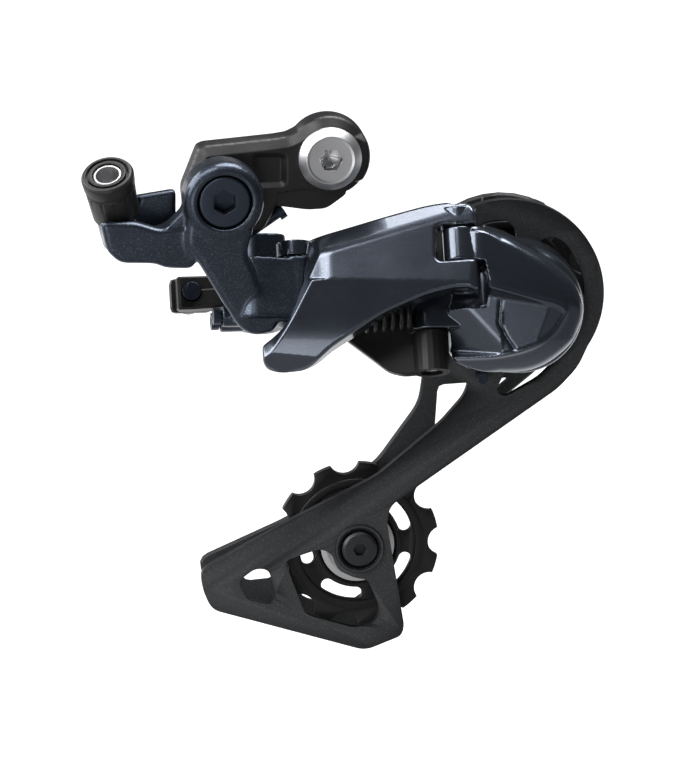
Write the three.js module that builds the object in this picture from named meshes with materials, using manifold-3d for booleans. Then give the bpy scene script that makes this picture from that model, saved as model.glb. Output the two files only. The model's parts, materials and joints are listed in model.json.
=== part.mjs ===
// Rear bicycle derailleur, 11-speed, medium cage, in its free position: cage swung back against its stop.
// Millimetres. +X is the bicycle's forward direction, +Y points inboard to the wheel, +Z is up.
// The origin is the centre of the hanger seat: the plane y = 0 of the bracket link, on the hanger bolt's axis.
import * as THREE from "three";
import { mergeVertices } from "three/addons/utils/BufferGeometryUtils.js";
import Module from "manifold-3d";

const wasm = await Module();
wasm.setup();

// ---------------------------------------------------------------- driving dimensions

const GAP = 0.3; // running and resting gap between neighbouring solids
const SLIVER = 0.02; // edges shorter than this are collapsed after joins and cuts
const SLANT = THREE.MathUtils.degToRad(27); // tilt of the parallelogram's pins in the YZ plane
const B_AXIS = { x: -28.4, z: -8.6 }; // axle between bracket link and upper knuckle
const P_AXIS = { x: 49, z: -41 }; // cage axle in the lower knuckle
const GUIDE = { x: 46.9, z: -38.9 }; // guide pulley centre
const TENSION = { x: 9.1, z: -106.1 }; // tension pulley centre

// Pin centres in the slanted frame (u along X, v inboard and down, w along the pins).
const PIN_A = { u: -9, v: 5.9 }; // upper knuckle to outer link
const PIN_C = { u: 33.1, v: -2.3 }; // outer link to lower knuckle
const PIN_SPACING = { u: -7.6, v: 12.5 }; // from the outer link's pins to the inner link's
const PIN_B = { u: PIN_A.u + PIN_SPACING.u, v: PIN_A.v + PIN_SPACING.v };
const PIN_D = { u: PIN_C.u + PIN_SPACING.u, v: PIN_C.v + PIN_SPACING.v };
const PIN_R = 1.9;
const BUSH_R = 2.7;
const BUSH_BORE_R = BUSH_R + GAP;
const LOBE_R = 4.7;

// Levels along the pins: where the knuckles' tongues sit between the links' lobes.
const TONGUE_A = [-45, -27];
const BARREL_B = [-38.1, -30.7];
const TONGUE_C = [-31.2, -22.3];
const TONGUE_D = [-46.2, -36];

const LINK_THICKNESS = 8; // bracket link, from y = -8 to the seat at y = 0
const KNUCKLE_FRONT = -19.5;
const KNUCKLE_BACK = -9.7;

const CAGE_OUTER = [3, 5.5]; // y range of the outer cage plate
const CAGE_INNER = [15, 17];
const PULLEY_MID = 10.25;
const TOOTH_COUNT = 11;
const CHAIN_PITCH = 12.7;
const PITCH_R = CHAIN_PITCH / 2 / Math.sin(Math.PI / TOOTH_COUNT);
const ROLLER_SEAT_R = 3.95;
const GUIDE_TIP_R = 24;
const TENSION_TIP_R = 21.4;
const TOOTH_THICKNESS = 2.3;
const RIM_R = 25.3; // outer edge of the cage's round end

const ADJUSTER_BASE = new THREE.Vector3(-55.1, -7.6, -13.6);
const ADJUSTER_AXIS = new THREE.Vector3(-0.222, -0.466, 0.857).normalize();
const ADJUSTER_LENGTH = 14.5;

// ---------------------------------------------------------------- materials

const finish = (color, roughness, metalness) => new THREE.MeshStandardMaterial({ color, roughness, metalness });
const bluePaint = finish(0x2b323d, 0.32, 0.55);
const blackAlloy = finish(0x141416, 0.5, 0.4);
const cageGrey = finish(0x3a3d3f, 0.55, 0.5);
const blackResin = finish(0x131314, 0.6, 0);
const steel = finish(0xb9bcc0, 0.28, 1);
const darkSteel = finish(0x26292f, 0.35, 0.8);
const springSteel = finish(0x1c1c1e, 0.4, 0.8);
const rubber = finish(0x0c0c0c, 0.85, 0);

// ---------------------------------------------------------------- shape helpers

// A closed geometry as a manifold-3d solid, with its faces turned outwards.
function solid(geometry) {
  const bare = (geometry.index ? geometry.toNonIndexed() : geometry.clone()).deleteAttribute("normal");
  bare.deleteAttribute("uv");
  const merged = mergeVertices(bare, 1e-4);
  const made = (triVerts) =>
    new wasm.Manifold(
      new wasm.Mesh({ numProp: 3, vertProperties: merged.attributes.position.array, triVerts }),
    );
  const triVerts = new Uint32Array(merged.index.array);
  const first = made(triVerts);
  return first.volume() > 0 ? first : made(triVerts.slice().reverse());
}

// A manifold-3d solid as a three.js geometry, without the slivers that joining and cutting leave.
function geometryOf(shape) {
  const { numProp, numVert, vertProperties, triVerts } = shape.simplify(SLIVER).getMesh();
  const positions = new Float32Array(numVert * 3);
  for (let i = 0; i < numVert; i++) positions.set(vertProperties.subarray(i * numProp, i * numProp + 3), i * 3);
  const geometry = new THREE.BufferGeometry();
  geometry.setAttribute("position", new THREE.BufferAttribute(positions, 3));
  geometry.setIndex(new THREE.BufferAttribute(triVerts, 1));
  return geometry;
}

const join = (...shapes) => shapes.reduce((a, b) => a.add(b));
const cut = (body, ...tools) => tools.reduce((a, b) => a.subtract(b), body);

const outline = (points) => new THREE.Shape(points.map(([x, y]) => new THREE.Vector2(x, y)));

// Points along an arc about (cx, cy), from one angle to another in degrees.
function arc(cx, cy, radius, from, to, steps) {
  return Array.from({ length: steps + 1 }, (_, i) => {
    const angle = THREE.MathUtils.degToRad(from + ((to - from) * i) / steps);
    return [cx + radius * Math.cos(angle), cy + radius * Math.sin(angle)];
  });
}

// A closed outline with each corner rounded to the given radius.
function rounded(points, radius, steps = 3) {
  return points.flatMap((corner, i) => {
    const here = new THREE.Vector2(...corner);
    const toward = (other) => new THREE.Vector2(...other).sub(here);
    const before = toward(points.at(i - 1));
    const after = toward(points[(i + 1) % points.length]);
    const reach = Math.min(radius, before.length() * 0.45, after.length() * 0.45);
    const start = here.clone().addScaledVector(before.normalize(), reach);
    const end = here.clone().addScaledVector(after.normalize(), reach);
    return new THREE.QuadraticBezierCurve(start, here, end).getPoints(steps).map((p) => [p.x, p.y]);
  });
}

// An outline raised along local +Z from low to high, with an optional edge bevel.
function prism(points, low, high, bevel = 0, holes = []) {
  const shape = outline(points);
  shape.holes = holes.map(outline);
  const geometry = new THREE.ExtrudeGeometry(shape, {
    depth: high - low - 2 * bevel,
    steps: 1,
    bevelEnabled: bevel > 0,
    bevelThickness: bevel,
    bevelSize: bevel,
    bevelOffset: -bevel,
    bevelSegments: 1,
  });
  return geometry.translate(0, 0, low + bevel);
}

// An outline in the XZ plane given thickness from y = front to y = back.
const plate = (points, front, back, bevel, holes) =>
  prism(points, -back, -front, bevel, holes).rotateX(Math.PI / 2);

// A turned shape about local Y from [radius, height] points that start and end on the axis or close.
function turned(profile, segments = 20) {
  return new THREE.LatheGeometry(
    profile.map(([r, h]) => new THREE.Vector2(r, h)),
    segments,
  );
}

const rod = (radius, low, high, segments = 16) =>
  new THREE.CylinderGeometry(radius, radius, high - low, segments).translate(0, (low + high) / 2, 0);

const sleeve = (inner, outer, low, high, segments = 20) =>
  turned([[inner, low], [outer, low], [outer, high], [inner, high], [inner, low]], segments);

const hexKey = (acrossFlats, low, high) => rod(acrossFlats / Math.sqrt(3), low, high, 6);

// Moves a shape made about local Y to the Y-parallel axis at (x, z).
const onAxis = (geometry, { x, z }) => geometry.translate(x, 0, z);

// Puts a shape made in the slanted frame (u, v, w) into the part's frame.
const slanted = (geometry) => geometry.rotateX(-SLANT);

// A round shape made about local Y, stood on a pin's axis in the slanted frame, then put in the part's frame.
const onPin = (geometry, { u, v }) => slanted(geometry.rotateX(Math.PI / 2).translate(u, v, 0));

// A shape made about local Y, carried so that local +Y lies along a direction from a point.
function along(geometry, point, direction) {
  const turn = new THREE.Quaternion().setFromUnitVectors(new THREE.Vector3(0, 1, 0), direction);
  return geometry.applyQuaternion(turn).translate(point.x, point.y, point.z);
}

// The outline that wraps round circles [u, v, radius], as their convex hull.
function wrap(circles, steps = 16) {
  const cloud = circles.flatMap(([u, v, r]) => arc(u, v, r, 0, 360 - 360 / steps, steps - 1));
  cloud.sort((p, q) => p[0] - q[0] || p[1] - q[1]);
  const turn = (o, p, q) => (p[0] - o[0]) * (q[1] - o[1]) - (p[1] - o[1]) * (q[0] - o[0]);
  const chain = (list) => {
    const kept = [];
    for (const p of list) {
      while (kept.length > 1 && turn(kept.at(-2), kept.at(-1), p) <= 1e-9) kept.pop();
      kept.push(p);
    }
    return kept.slice(0, -1);
  };
  return [...chain(cloud), ...chain(cloud.slice().reverse())];
}

const root = new THREE.Group();

function add(name, shape, material) {
  const mesh = new THREE.Mesh(shape.isBufferGeometry ? geometryOf(solid(shape)) : geometryOf(shape), material);
  mesh.name = name;
  root.add(mesh);
  return mesh;
}

// ---------------------------------------------------------------- bracket link and its two bolts

const HANGER_EYE_R = 10.6;
const HANGER_SHANK_R = 5;

function bracketLink() {
  const body = plate(
    [
      [-33.8, 2.9],
      [-11, 5.2],
      ...arc(0, 0, HANGER_EYE_R, 136, -62, 22),
      [-3, -10.2],
      [-12.6, -10.8],
      [-16.6, -17.8],
      [-20.4, -19.4],
      ...arc(B_AXIS.x, B_AXIS.z, 9.4, -80, -190, 8),
    ],
    -LINK_THICKNESS,
    0,
    0.9,
  );
  const lowerFlange = plate(
    rounded([[7.6, -4.8], [1.2, -11], [-3.2, -13.6], [-13.6, -11.8], [-14, -8], [0, -3]], 2, 2),
    -4.4,
    -0.5,
    0.4,
  );
  const pocket = plate(rounded([[-20.4, 1.6], [-10.9, 1.4], [-10.9, -7.8], [-20.4, -7.8]], 2), -12, -5.6);
  const boltBore = onAxis(rod(HANGER_SHANK_R + GAP, -12, 4, 24), { x: 0, z: 0 });
  const axleBore = onAxis(rod(5 + GAP, -12, 4, 24), B_AXIS);
  const screwBore = along(rod(1.5 + GAP, -1, 20, 12), B_SCREW_HEAD, B_SCREW_AXIS);
  const screwHeadRoom = along(rod(2.3 + GAP, -5, 0), B_SCREW_HEAD, B_SCREW_AXIS);
  return cut(
    join(solid(body), solid(lowerFlange)),
    solid(pocket),
    solid(boltBore),
    solid(axleBore),
    solid(screwBore),
    solid(screwHeadRoom),
  );
}

function hangerBolt() {
  const profile = [
    [0, -11.2], [6.1, -11.2], [8.2, -9.6], [8.2, -LINK_THICKNESS - GAP], [HANGER_SHANK_R, -LINK_THICKNESS - GAP],
    [HANGER_SHANK_R, 7.4], [HANGER_SHANK_R - 0.8, 8.2], [0, 8.2],
  ];
  return cut(solid(turned(profile, 28)), solid(hexKey(5.4, -12, -6.8)));
}

function bAxle() {
  const profile = [
    [0, -19.1], [6.4, -19.1], [6.8, -18.7], [6.8, -15.7], [5, -15.7], [5, -0.8], [4.4, -0.2], [0, -0.2],
  ];
  const bolt = cut(solid(turned(profile, 24)), solid(hexKey(5.6, -20, -14.5)));
  return geometryOf(bolt).translate(B_AXIS.x, 0, B_AXIS.z);
}

const B_SCREW_HEAD = new THREE.Vector3(-13.4, -4, -15.2);
const B_SCREW_AXIS = new THREE.Vector3(-0.83, 0, -0.56).normalize();
const B_SCREW_LENGTH = 12.4;

function bTensionScrew() {
  const profile = [
    [0, -2.2], [2.3, -2.2], [2.3, -GAP], [1.5, -GAP], [1.5, B_SCREW_LENGTH - 1], [1, B_SCREW_LENGTH], [0, B_SCREW_LENGTH],
  ];
  const screw = cut(solid(turned(profile, 16)), solid(hexKey(2, -3, -0.9)));
  return along(geometryOf(screw), B_SCREW_HEAD, B_SCREW_AXIS);
}

add("bracket_link", bracketLink(), blackAlloy);
add("hanger_bolt", hangerBolt(), steel);
add("b_axle", bAxle(), darkSteel);
add("b_axle_bush", onAxis(sleeve(5.3, 6.3, -15.4, KNUCKLE_BACK, 24), B_AXIS), steel);
add("b_axle_seal", onAxis(sleeve(6.6, 9.2, KNUCKLE_BACK + GAP, -LINK_THICKNESS - GAP, 24), B_AXIS), rubber);
add("b_tension_screw", bTensionScrew(), darkSteel);

// ---------------------------------------------------------------- upper knuckle

function upperKnuckle() {
  const boss = onAxis(
    turned(
      [
        [0, KNUCKLE_FRONT], [8.6, KNUCKLE_FRONT], [9.8, KNUCKLE_FRONT + 0.7], [10.4, KNUCKLE_FRONT + 2],
        [10.4, KNUCKLE_BACK], [0, KNUCKLE_BACK],
      ],
      28,
    ),
    B_AXIS,
  );
  const arm = plate(
    rounded(
      [
        [-37.6, -9], [-38.6, -20], [-34.8, -25], [-29.1, -34.8], [-24.6, -42], [-21, -44.2], [-15.4, -43.2],
        [-14.2, -40], [-16, -37.5], [-19.4, -29.9], [-22.6, -22], [-20.5, -15.5],
      ],
      2,
    ),
    -18.6,
    -13.2,
    1,
  );
  const leftBranch = plate(
    rounded(
      [
        [-60.4, -13.2], [-58.6, -21.2], [-55.2, -24.4], [-46.1, -24.8], [-43.5, -26], [-36.5, -26.4], [-33, -20],
        [-36, -14.8], [-44.8, -15.8], [-51.3, -13.6],
      ],
      1.6,
    ),
    -17.2,
    -2.4,
    0.8,
  );
  const rearWall = plate(
    rounded([[-58.6, -14], [-50, -9.4], [-39.4, -7.9], [-39.4, -24], [-58, -22]], 1.2),
    -5.6,
    -2.4,
    0.5,
  );
  const channel = plate(rounded([[-50.2, -5], [-50.2, -20.6], [-30, -21.4], [-30, -5]], 1.5), -13.4, -5.6);
  const stopTab = plate(rounded([[-31.4, -20.6], [-25.6, -20.4], [-24.4, -23.8], [-30, -24.6]], 1, 2), -14, -1.5);
  const tongueA = onPin(rod(LOBE_R, ...TONGUE_A, 20), PIN_A);
  const tongueNeck = slanted(prism(wrap([[PIN_A.u, PIN_A.v, LOBE_R - 0.3], [-16, 4.4, 3]]), -44.4, -33));
  const lowerEar = slanted(
    prism(
      wrap([[PIN_A.u, PIN_A.v, LOBE_R - 0.4], [PIN_B.u, PIN_B.v, LOBE_R], [-23.2, 7, 2.4], [-23.6, 16.6, 2]]),
      -42.5,
      BARREL_B[0] - GAP,
    ),
  );
  const upperEar = slanted(
    prism(wrap([[PIN_A.u, PIN_A.v, LOBE_R - 0.4], [PIN_B.u, PIN_B.v, LOBE_R]]), BARREL_B[1] + GAP, -27.1),
  );
  const screwBosses = LIMIT_SCREWS.map(({ v, w }) => alongU(rod(2.9, LIMIT_SCREW.shoulder + GAP, -21.8), v, w));
  const adjusterSeat = along(rod(5.2, -9, -GAP, 20), ADJUSTER_BASE, ADJUSTER_AXIS);
  const backFace = plate([[-70, 20], [10, 20], [10, -70], [-70, -70]], -2.4, 20);
  const linkClearance = plate(
    [...arc(B_AXIS.x, B_AXIS.z, 16, 130, 10, 10), [-18, -20], ...arc(B_AXIS.x, B_AXIS.z, 10.9, -60, -210, 12)],
    KNUCKLE_BACK,
    4,
  );
  const bores = [
    onAxis(rod(6.3 + GAP, -22, 0, 24), B_AXIS),
    onAxis(rod(6.8 + GAP, -22, -15.4, 24), B_AXIS),
    onPin(rod(PIN_R + GAP, -60, 0, 12), PIN_A),
    onPin(rod(PIN_R + GAP, -60, 0, 12), PIN_B),
    along(rod(2.5 + GAP, -12, 2), ADJUSTER_BASE, ADJUSTER_AXIS),
    along(rod(7.4, -GAP, 18), ADJUSTER_BASE, ADJUSTER_AXIS),
    ...LIMIT_SCREWS.map(({ v, w }) => alongU(rod(1.5 + GAP, LIMIT_SCREW.shoulder - 2, LIMIT_SCREW.tip, 12), v, w)),
  ];
  const casting = join(
    cut(join(solid(leftBranch), solid(rearWall)), solid(channel)),
    solid(boss),
    solid(arm),
    solid(tongueA),
    solid(tongueNeck),
    solid(lowerEar),
    solid(upperEar),
    ...screwBosses.map(solid),
    cut(solid(adjusterSeat), solid(backFace)),
  );
  return join(cut(casting, solid(linkClearance), ...bores.map(solid)), solid(stopTab));
}

// Two limit screws lie along X below the cable lever, threaded into bosses on the upper knuckle's lower ear.
const LIMIT_SCREWS = [
  { name: "limit_screw_high", v: 10.4, w: -40.4 },
  { name: "limit_screw_low", v: 15.7, w: -40.4 },
];
const LIMIT_SCREW = { head: -30.4, shoulder: -28.4, tip: -21.4 };

// A shape made about local Y, laid along u at (v, w) in the slanted frame.
const alongU = (geometry, v, w) => slanted(geometry.rotateZ(-Math.PI / 2).translate(0, v, w));

function limitScrew(v, w) {
  const { head, shoulder, tip } = LIMIT_SCREW;
  const profile = [[0, head], [2.3, head], [2.3, shoulder], [1.5, shoulder], [1.5, tip - 0.6], [1, tip], [0, tip]];
  const screw = cut(solid(turned(profile, 12)), solid(hexKey(2, head - 1, head + 1.2)));
  return alongU(geometryOf(screw), v, w);
}

add("upper_knuckle", upperKnuckle(), bluePaint);
for (const { name, v, w } of LIMIT_SCREWS) add(name, limitScrew(v, w), darkSteel);

// ---------------------------------------------------------------- cable adjuster

function adjusterBarrel() {
  const ribCount = 12;
  const body = turned(
    [
      [0, 0], [5.6, 0], [6, 0.6], [6.7, 9], [6.9, ADJUSTER_LENGTH - 0.8], [6.3, ADJUSTER_LENGTH], [0, ADJUSTER_LENGTH],
    ],
    24,
  );
  const grooves = Array.from({ length: ribCount }, (_, i) => {
    const angle = (i / ribCount) * Math.PI * 2;
    return rod(0.7, 1.4, 9.5, 6).translate(6.85 * Math.cos(angle), 0, 6.85 * Math.sin(angle));
  });
  const rimRecess = sleeve(4.9, 5.6, ADJUSTER_LENGTH - 1.2, ADJUSTER_LENGTH + 1, 28);
  const tools = [rod(3.9, 3, ADJUSTER_LENGTH + 1, 24), rod(2.5 + GAP, -1, 4, 16), rimRecess, ...grooves];
  return along(geometryOf(cut(solid(body), ...tools.map(solid))), ADJUSTER_BASE, ADJUSTER_AXIS);
}

// Threaded stem inside the barrel: it screws into the knuckle and holds the cable housing.
function adjusterStem() {
  const profile = [
    [1.2, -8], [2.5, -8], [2.5, 3.2 + GAP], [3.6, 3.2 + GAP], [3.6, ADJUSTER_LENGTH - 0.6], [3, ADJUSTER_LENGTH - 0.6],
    [3, 5], [1.2, 5], [1.2, -8],
  ];
  return along(turned(profile, 24), ADJUSTER_BASE, ADJUSTER_AXIS);
}

add("cable_adjuster_barrel", adjusterBarrel(), blackResin);
add("cable_adjuster_stem", adjusterStem(), steel);

// ---------------------------------------------------------------- parallelogram

const pinBore = (pin) => solid(onPin(rod(BUSH_BORE_R, -60, 0, 12), pin));

// A pin with a bush of full length in each lobe it runs through.
function pinAndBushes(letter, pin, [low, high], lobes) {
  add("pin_" + letter, onPin(rod(PIN_R, low, high, 12), pin), steel);
  lobes.forEach(([from, to], i) => {
    const name = "pin_" + letter + "_bush_" + (i === 0 ? "lower" : "upper");
    add(name, onPin(sleeve(PIN_R + GAP, BUSH_R, from, to, 12), pin), steel);
  });
}

// The outer link is drawn in its own frame: s runs from pin A to pin C, t points inboard, w lies along the pins.
const LINK_ANGLE = Math.atan2(PIN_C.v - PIN_A.v, PIN_C.u - PIN_A.u);
const LINK_LENGTH = Math.hypot(PIN_C.u - PIN_A.u, PIN_C.v - PIN_A.v);
const inOuterLink = (geometry) => slanted(geometry.rotateZ(LINK_ANGLE).translate(PIN_A.u, PIN_A.v, 0));
const inInnerLink = (geometry) => slanted(geometry.rotateZ(LINK_ANGLE).translate(PIN_B.u, PIN_B.v, 0));

// An outline in the link's (s, w) plane given thickness from t = outer to t = inner.
const linkPlate = (points, outer, inner, bevel, holes) =>
  prism(points, -inner, -outer, bevel, holes).rotateX(Math.PI / 2);

const OUTER_FACE = -6.4; // t of the outer link's crest, outboard of its pins
const END_R = 6.5; // the outer link's end turns inside the lower knuckle's pockets
const OUTER_LOBES = {
  A: [[-54.4, TONGUE_A[0] - GAP], [TONGUE_A[1] + GAP, -22.6]],
  C: [[-38.8, TONGUE_C[0] - GAP], [TONGUE_C[1] + GAP, -17]],
};

function outerLink() {
  const shell = inOuterLink(
    linkPlate(
      rounded(
        [
          [-9.6, -49.6], [-9.4, -55], [-5, -56.4], [1, -56.2], [8, -52.3], [22.1, -45.3], [33.8, -40.4],
          [40.7, -38.7], [47.4, -40], [47.6, -17.8], [43, -15.8], [35.2, -15.6], [14, -20.5], [-3.4, -24.6],
          [0.4, -26.9], [2.7, -34], [0.9, -37.1], [-3, -45.7],
        ],
        1.5,
        2,
      ),
      OUTER_FACE,
      1.2,
      0.5,
    ),
  );
  const hollow = inOuterLink(
    linkPlate(rounded([[7.5, -60], [37, -60], [37, -20.4], [7.5, -25.4]], 1.5, 2), -3.6, 4),
  );
  const lobes = Object.entries({ A: PIN_A, C: PIN_C }).flatMap(([key, pin]) =>
    OUTER_LOBES[key].map(([low, high]) => onPin(rod(LOBE_R, low, high, 20), pin)),
  );
  const end = [[LINK_LENGTH, -9], ...arc(LINK_LENGTH, 0, END_R, -90, 90, 8), [LINK_LENGTH, 9], [60, 9], [60, -9]];
  const beyondEnd = inOuterLink(prism(end, -45, -10));
  const [notchLow, notchHigh] = [TONGUE_C[0] - GAP, TONGUE_C[1] + GAP];
  const tongueRoom = [
    slanted(
      prism(
        wrap([[PIN_A.u, PIN_A.v, LOBE_R + 0.5], [PIN_A.u - 12, PIN_A.v - 2, LOBE_R + 5]]),
        TONGUE_A[0] - GAP,
        TONGUE_A[1] + GAP,
      ),
    ),
    inOuterLink(linkPlate([[36.8, notchLow], [36.8, notchHigh], [60, notchHigh], [60, notchLow]], -12, 12)),
  ];
  return cut(
    join(solid(shell), ...lobes.map(solid)),
    solid(hollow),
    solid(beyondEnd),
    ...tongueRoom.map(solid),
    pinBore(PIN_A),
    pinBore(PIN_C),
  );
}

const INNER_LOBES = {
  B: [BARREL_B],
  D: [[-57, TONGUE_D[0] - GAP], [TONGUE_D[1] + GAP, -30.5]],
};

function innerLink() {
  const blade = inInnerLink(
    linkPlate(
      rounded(
        [
          [0, -37.9], [12, -38.6], [19.8, -45.5], [31.7, -56], [35.5, -57.2], [LINK_LENGTH, -57], [LINK_LENGTH, -30.5],
          [22, -29], [11, -30.9], [0, -30.9],
        ],
        1.2,
        2,
      ),
      -1.4,
      1.8,
      0.4,
    ),
  );
  const lobes = Object.entries({ B: PIN_B, D: PIN_D }).flatMap(([key, pin]) =>
    INNER_LOBES[key].map(([low, high]) => onPin(rod(LOBE_R, low, high, 20), pin)),
  );
  const tongueRoom = onPin(rod(LOBE_R + 0.7, TONGUE_D[0] - GAP, TONGUE_D[1] + GAP, 20), PIN_D);
  const lever = slanted(prism(wrap([[PIN_B.u, PIN_B.v, 3.6], [CLAMP.u, CLAMP.v, 1.7]]), -36.2, -31, 0.5));
  const pad = slanted(
    prism(rounded([[-38.4, 18.6], [-28, 18.6], [-28, 22.2], [-38.4, 22.2]], 1, 2), -36.2, CLAMP.top, 0.5),
  );
  const clampBore = slanted(rod(2.4 + GAP, 10, 30).translate(CLAMP.u, 0, CLAMP.w));
  return cut(
    join(solid(blade), ...lobes.map(solid), solid(lever), solid(pad)),
    solid(tongueRoom),
    pinBore(PIN_B),
    pinBore(PIN_D),
    solid(clampBore),
  );
}

// The cable clamp sits on the inner link's lever, its bolt along v.
const CLAMP = { u: -34.6, v: 20.4, w: -31.6, top: -27.4 };

function clampBolt() {
  const profile = [
    [0, 17.6], [2.4, 17.6], [2.4, 24.8], [3.8, 24.8], [3.8, 28], [0, 28],
  ];
  const bolt = cut(solid(turned(profile, 20)), solid(hexKey(4, 25.6, 29)));
  return slanted(geometryOf(bolt).translate(CLAMP.u, 0, CLAMP.w));
}

function clampPlate() {
  const washer = slanted(
    linkPlate(rounded([[-39.8, -36], [-29, -36], [-29, -27], [-39.8, -27]], 1.4, 2), 22.6, 24.5, 0.4),
  );
  const bore = slanted(rod(2.4 + GAP, 10, 30, 16).translate(CLAMP.u, 0, CLAMP.w));
  return cut(solid(washer), solid(bore));
}

add("outer_link", outerLink(), bluePaint);
add("inner_link", innerLink(), blackAlloy);
add("cable_clamp_plate", clampPlate(), blackAlloy);
add("cable_clamp_bolt", clampBolt(), darkSteel);
pinAndBushes("a", PIN_A, [-52, -22.6], OUTER_LOBES.A.map(([l, h], i) => (i ? [l, h - 1] : [l + 1.6, h])));
pinAndBushes("b", PIN_B, [-42, -27.6], INNER_LOBES.B);
pinAndBushes("c", PIN_C, [-38, -18], OUTER_LOBES.C.map(([l, h], i) => (i ? [l, h - 1] : [l + 1, h])));
pinAndBushes("d", PIN_D, [-55, -30.2], INNER_LOBES.D.map(([l, h], i) => (i ? [l, h - 1] : [l + 1, h])));

// Return spring between the links, its coils lying along the outer link.
class Coil extends THREE.Curve {
  constructor(radius, length, turns) {
    super();
    Object.assign(this, { radius, length, turns });
  }
  getPoint(t) {
    const angle = t * this.turns * Math.PI * 2;
    return new THREE.Vector3(this.length * t, this.radius * Math.cos(angle), this.radius * Math.sin(angle));
  }
}

const coilSpring = (radius, length, turns, wire, steps, sides) =>
  new THREE.ExtrudeGeometry(outline(arc(0, 0, wire / 2, 0, 360 - 360 / sides, sides - 1)), {
    steps,
    extrudePath: new Coil(radius, length, turns),
    bevelEnabled: false,
  });

const RETURN_SPRING = { radius: 3.7, wire: 1.5, turns: 6.5, s: 12.5, t: 4, w: -42.6, length: 15 };

function returnSpring() {
  const { radius, wire, turns, s, t, w, length } = RETURN_SPRING;
  return inOuterLink(coilSpring(radius, length, turns, wire, 60, 5).translate(s, t, w));
}

add("return_spring", returnSpring(), springSteel);

// ---------------------------------------------------------------- lower knuckle

const BARREL_R = 16.9;
const SPRING_ROOM_R = 12.6;

function lowerKnuckle() {
  const barrel = onAxis(
    turned([[0, -18.4], [12.5, -18.4], [15.6, -16.6], [BARREL_R, -12.5], [BARREL_R, 1.6], [0, 1.6]], 32),
    P_AXIS,
  );
  const wing = plate(
    rounded(
      [
        [38.6, -18.2], [45, -20.4], [55.4, -26.6], [63, -33.4], [64.8, -39.8], [58.6, -37.6], [42.8, -32.6],
        [38, -31.4],
      ],
      1.4,
      2,
    ),
    -21,
    -8,
    0.7,
  );
  const tongueC = slanted(
    prism(wrap([[PIN_C.u, PIN_C.v, LOBE_R - 0.2], [41, -5.5, 3.6], [44, 2, 4]]), ...TONGUE_C, 0.5),
  );
  const tongueD = slanted(
    prism(wrap([[PIN_D.u, PIN_D.v, LOBE_R], [36, 8, 5], [38, 3, 5]]), ...TONGUE_D, 0.4),
  );
  const chin = plate(
    rounded([[30.8, -44.5], [30.4, -52.4], [36, -55], [43, -56.4], [48, -50], [44, -40], [36, -38]], 1.5, 2),
    -15.5,
    -9,
    1,
  );
  const clearances = [
    onPin(rod(END_R + 0.5, -42, TONGUE_C[0] - GAP, 20), PIN_C),
    onPin(rod(END_R + 0.5, TONGUE_C[1] + GAP, -12, 20), PIN_C),
    onPin(rod(LOBE_R + 0.6, -60, TONGUE_D[0] - GAP, 20), PIN_D),
    onPin(rod(LOBE_R + 0.6, TONGUE_D[1] + GAP, -28, 20), PIN_D),
  ];
  const bores = [
    onAxis(rod(SPRING_ROOM_R, -13.4, 4, 32), P_AXIS),
    onAxis(rod(4.4, -22, 4, 20), P_AXIS),
    onAxis(rod(11, -25, -17.2, 28), P_AXIS),
    onPin(rod(PIN_R + GAP, -60, 0, 12), PIN_C),
    onPin(rod(PIN_R + GAP, -60, 0, 12), PIN_D),
  ];
  return cut(
    join(solid(barrel), solid(wing), solid(tongueC), solid(tongueD), solid(chin)),
    ...clearances.map(solid),
    ...bores.map(solid),
  );
}

add("lower_knuckle", lowerKnuckle(), bluePaint);
add("p_axle_cap", onAxis(turned([[0, -18.6], [10, -18.6], [10.6, -18], [10.6, -17.5], [0, -17.5]], 28), P_AXIS), bluePaint);
add("p_axle_bush", onAxis(sleeve(3.5, 4.1, -17.3, -9.5, 24), P_AXIS), steel);
add("p_spring_seal", onAxis(sleeve(11.2, 15, 1.9, 2.6, 28), P_AXIS), rubber);

function pSpring() {
  const coil = coilSpring(8.6, 12.6, 5.2, 2, 52, 5).rotateZ(Math.PI / 2);
  return onAxis(coil.translate(0, -12.2, 0), P_AXIS);
}
add("p_tension_spring", pSpring(), springSteel);

// ---------------------------------------------------------------- cage

function cageAxle() {
  const profile = [
    [0, -17.2], [3.2, -17.2], [3.2, 0.4], [6, 0.4], [6, 2.6], [3.2, 2.6], [3.2, 5], [0, 5],
  ];
  return onAxis(turned(profile, 28), P_AXIS);
}
add("cage_axle", cageAxle(), steel);

const slot = (x, z, inner, outer, from, to, steps = 6) => [
  ...arc(x, z, outer, from, to, steps),
  ...arc(x, z, inner, to, from, steps),
];

// The lower arm of the outer plate, from the round end to the tension pulley.
const OUTER_ARM = rounded(
  [
    [-32.2, -110.6], [-10, -98.6], [13.5, -87], [30.3, -73.2], [36.6, -66], [38.4, -58], [52, -52], [69.6, -51.6],
    [66, -59.4], [60.8, -65], [24.6, -89.8], [17.2, -95], [16.2, -99], [20.8, -127], [20, -129.6], [10.6, -133.2],
    [-29.4, -121.2], [-31.6, -116],
  ],
  2.4,
  3,
);
const FRONT_WINDOW = rounded([[-22.6, -114], [-18, -110.6], [-14.6, -111], [-12.2, -118], [-13.6, -120.4], [-20, -119]], 1.4, 2);
const MAIN_WINDOW = rounded(
  [[-10.4, -108.8], [-1, -105.8], [2, -107.4], [3.4, -111.6], [8, -113.9], [11.4, -114.4], [14.4, -122], [13.6, -125.6], [8, -127.2], [-5, -123.2]],
  1.5,
  2,
);
const UPPER_WINDOW = rounded([[48, -58.6], [44.4, -65.2], [47, -67], [55.6, -62.2], [61.6, -56.4], [64.6, -50.4], [59, -52]], 1.4, 2);
const OUTER_RIM_WINDOWS = [
  [98, 140],
  [-28, 42],
  [172, 228],
].map(([from, to]) => slot(P_AXIS.x - 1.6, P_AXIS.z + 1, 10.8, 20.2, from, to, 8));

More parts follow.
